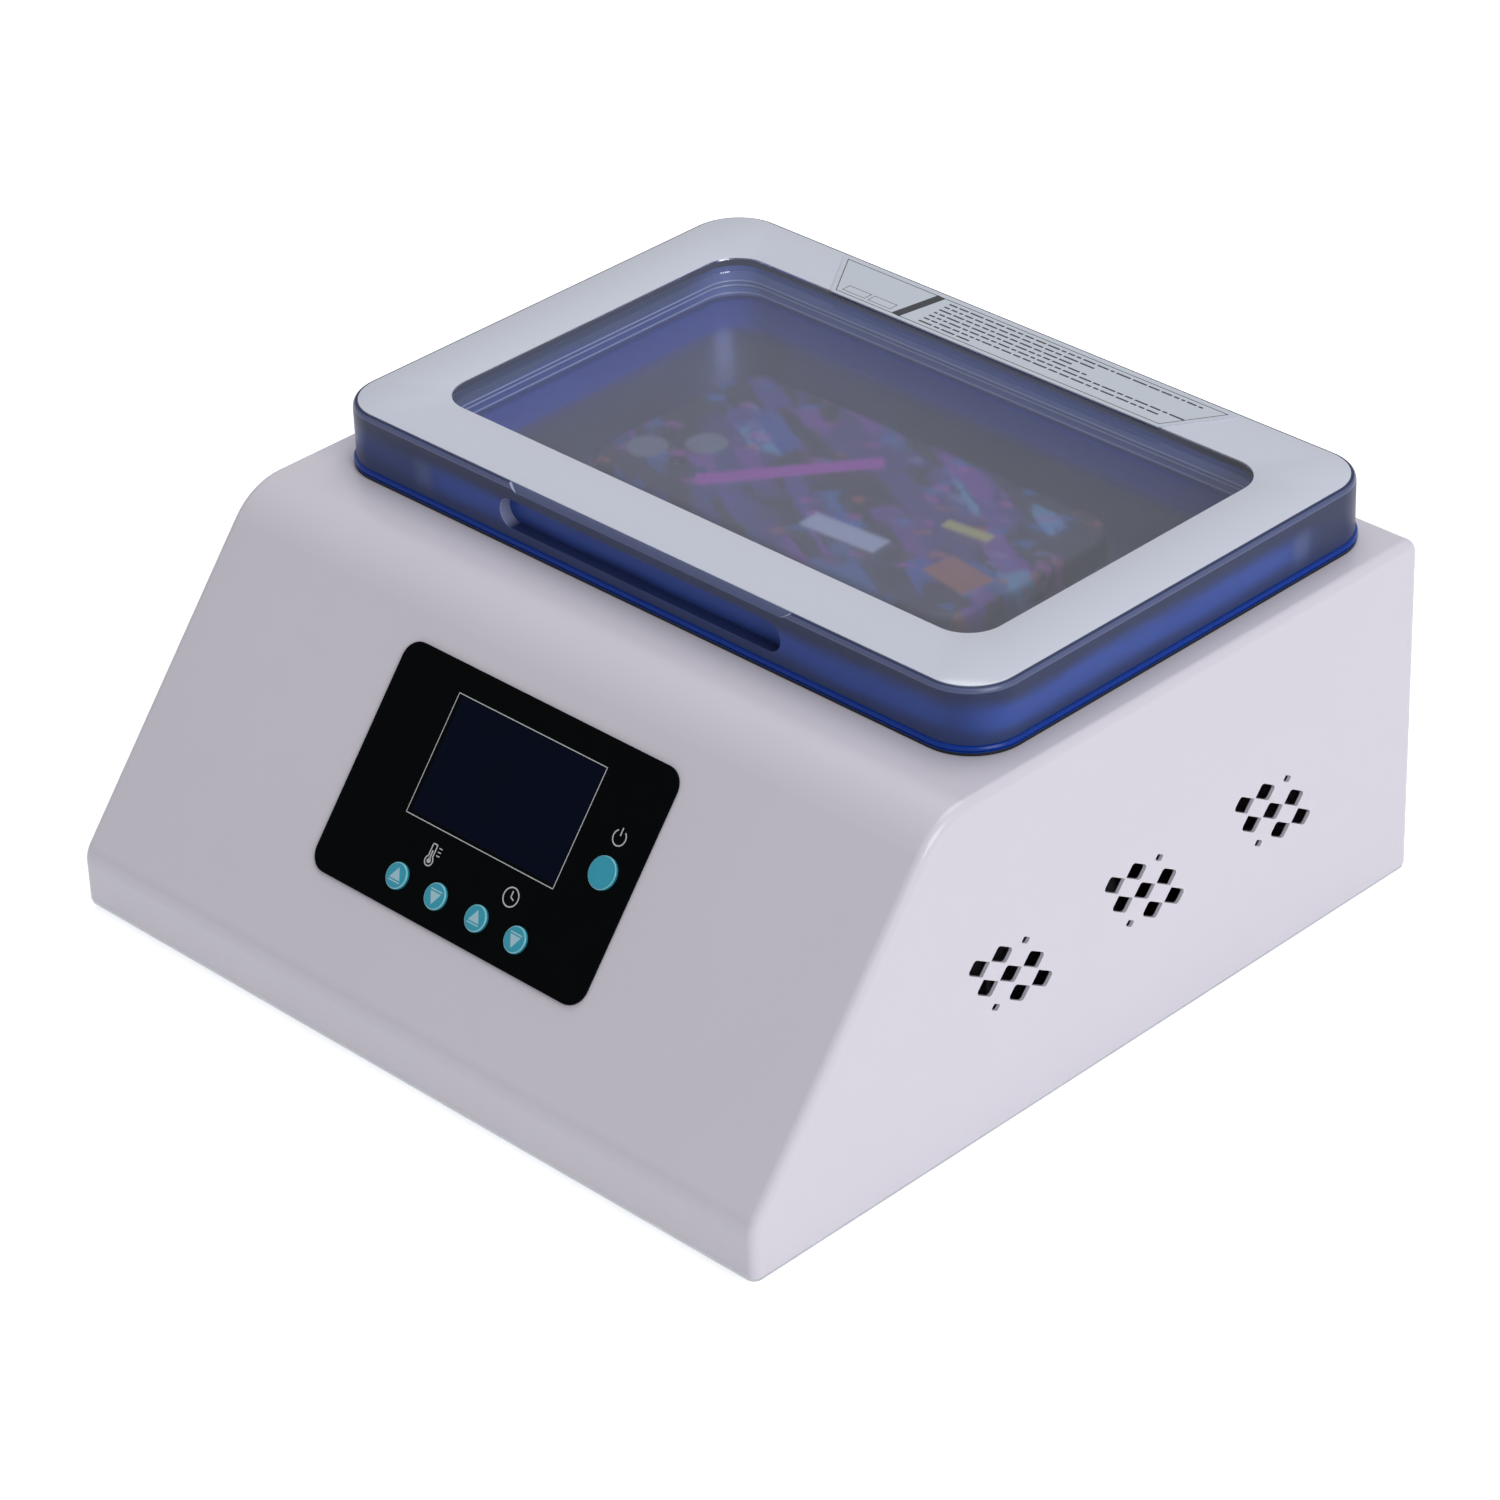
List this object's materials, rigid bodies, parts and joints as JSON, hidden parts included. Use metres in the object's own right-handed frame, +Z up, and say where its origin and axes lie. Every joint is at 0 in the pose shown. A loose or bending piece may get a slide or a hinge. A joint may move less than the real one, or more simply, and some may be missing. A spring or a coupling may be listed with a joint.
{
  "type": "vacuum sublimation machine",
  "caption": "Table-top vacuum heat press: sloping control panel, vented sheet-metal housing, heated chamber with mould and phone case, and a hinged clear lid with a blue gasket.",
  "frame": {"origin": "on the floor, at the middle of the footprint", "axes": "+Z up; +Y towards the hinged rear edge of the lid; -Y is the front with the control panel; +X is the user's right when facing the panel"},
  "size_m": [0.3, 0.306, 0.1459],
  "materials": {
    "body_paint": "satin lavender-white powder coat",
    "zinc_sheet": "zinc-plated sheet",
    "steel": "nickel-plated screws, nuts and pins",
    "hinge_steel": "brushed stainless",
    "tray_steel": "satin pressed stainless",
    "foot_rubber": "matte moulded",
    "gasket_silicone": "satin blue silicone",
    "membrane_silicone": "thin translucent silicone film",
    "plate_aluminium": "matte milled",
    "mat_silicone": "matte orange-red silicone heater mat",
    "insulation": "fibre board",
    "mould_aluminium": "satin machined",
    "case_print": "glossy printed",
    "spacer_plastic": "matte heat-proof plastic",
    "brass": "plain turned brass",
    "hose_silicone": "translucent white silicone",
    "black_plastic": "moulded",
    "motor_steel": "drawn and plated",
    "overlay_film": "glossy black printed polyester film",
    "display_glass": "dark glossy window",
    "board_green": "solder mask",
    "button_teal": "satin teal, with a paler rim",
    "transformer_core": "taped core",
    "capacitor_can": "sleeved can",
    "lead_insulation": "flexible insulation",
    "ribbon_grey": "flat cable",
    "rocker_red": "glossy moulded",
    "clear_acrylic": "polished clear",
    "lid_frame_paint": "white back-printed film under a gloss face",
    "label_film": "white film"
  },
  "bodies": {
    "housing": {"air_hoses": "hose_silicone", "base_plate": "zinc_sheet", "base_screws": "steel", "board_screws": "steel", "board_standoffs": "brass", "body_hinge_leaves": "hinge_steel", "body_hinge_screws": "steel", "button_switches": "black_plastic", "chamber_nuts": "steel", "chamber_ports": "brass", "chamber_tray": "tray_steel", "control_board": "board_green", "control_overlay": "overlay_film", "control_ribbon": "ribbon_grey", "display_module": "black_plastic", "display_window": "display_glass", "fan_frame": "black_plastic", "fan_guard": "black_plastic", "fan_screws": "steel", "feet": "foot_rubber", "heater_clamp_plate": "zinc_sheet", "heater_mat": "mat_silicone", "heater_plate": "plate_aluminium", "hinge_pins": "steel", "housing_shell": "body_paint", "inlet_pins": "brass", "insulation_board": "insulation", "lens_spacers": "spacer_plastic", "mains_inlet": "black_plastic", "phone_case": "case_print", "phone_mould": "mould_aluminium", "power_board": "board_green", "power_capacitors": "capacitor_can", "power_heatsink": "plate_aluminium", "power_transformer": "transformer_core", "pump_bracket": "zinc_sheet", "pump_head": "black_plastic", "pump_motor": "motor_steel", "pump_mounts": "foot_rubber", "rear_panel": "body_paint", "rear_panel_screws": "steel", "release_valve": "brass", "switch_frame": "black_plastic", "temperature_probe": "steel", "thermal_cutout": "black_plastic", "wiring_leads": "lead_insulation"},
    "lid": {"lid_block": "clear_acrylic", "lid_gasket": "gasket_silicone", "vacuum_membrane": "membrane_silicone", "lid_top_frame": "lid_frame_paint", "lid_label": "label_film", "lid_hinge_leaves": "hinge_steel", "lid_hinge_screws": "steel"},
    "fan_rotor": {"fan_rotor": "black_plastic"},
    "power_rocker": {"switch_rocker": "rocker_red"},
    "button_temp_up": {"button_temp_up": "button_teal"},
    "button_temp_down": {"button_temp_down": "button_teal"},
    "button_time_up": {"button_time_up": "button_teal"},
    "button_time_down": {"button_time_down": "button_teal"},
    "button_start": {"button_start": "button_teal"}
  },
  "joints": [
    {"name": "lid_hinge", "type": "hinge", "parent": "housing", "child": "lid", "pos_m": [0, 0.149, 0.127], "axis": [-1, 0, 0], "range_deg": [0, 100]},
    {"name": "temp_up_press", "type": "slide", "parent": "housing", "child": "button_temp_up", "axis": [0, 0.7826, -0.6225], "range_m": [0, 0.0006], "stiffness_N_per_m": 600},
    {"name": "temp_down_press", "type": "slide", "parent": "housing", "child": "button_temp_down", "axis": [0, 0.7826, -0.6225], "range_m": [0, 0.0006], "stiffness_N_per_m": 600},
    {"name": "time_up_press", "type": "slide", "parent": "housing", "child": "button_time_up", "axis": [0, 0.7826, -0.6225], "range_m": [0, 0.0006], "stiffness_N_per_m": 600},
    {"name": "time_down_press", "type": "slide", "parent": "housing", "child": "button_time_down", "axis": [0, 0.7826, -0.6225], "range_m": [0, 0.0006], "stiffness_N_per_m": 600},
    {"name": "start_press", "type": "slide", "parent": "housing", "child": "button_start", "axis": [0, 0.7826, -0.6225], "range_m": [0, 0.0006], "stiffness_N_per_m": 600},
    {"name": "rocker_pivot", "type": "hinge", "parent": "housing", "child": "power_rocker", "pos_m": [0.022, 0.143, 0.053], "axis": [1, 0, 0], "range_deg": [0, 16]},
    {"name": "fan_spin", "type": "hinge", "parent": "housing", "child": "fan_rotor", "pos_m": [-0.05, 0.134, 0.053], "axis": [0, 1, 0], "continuous": true}
  ]
}
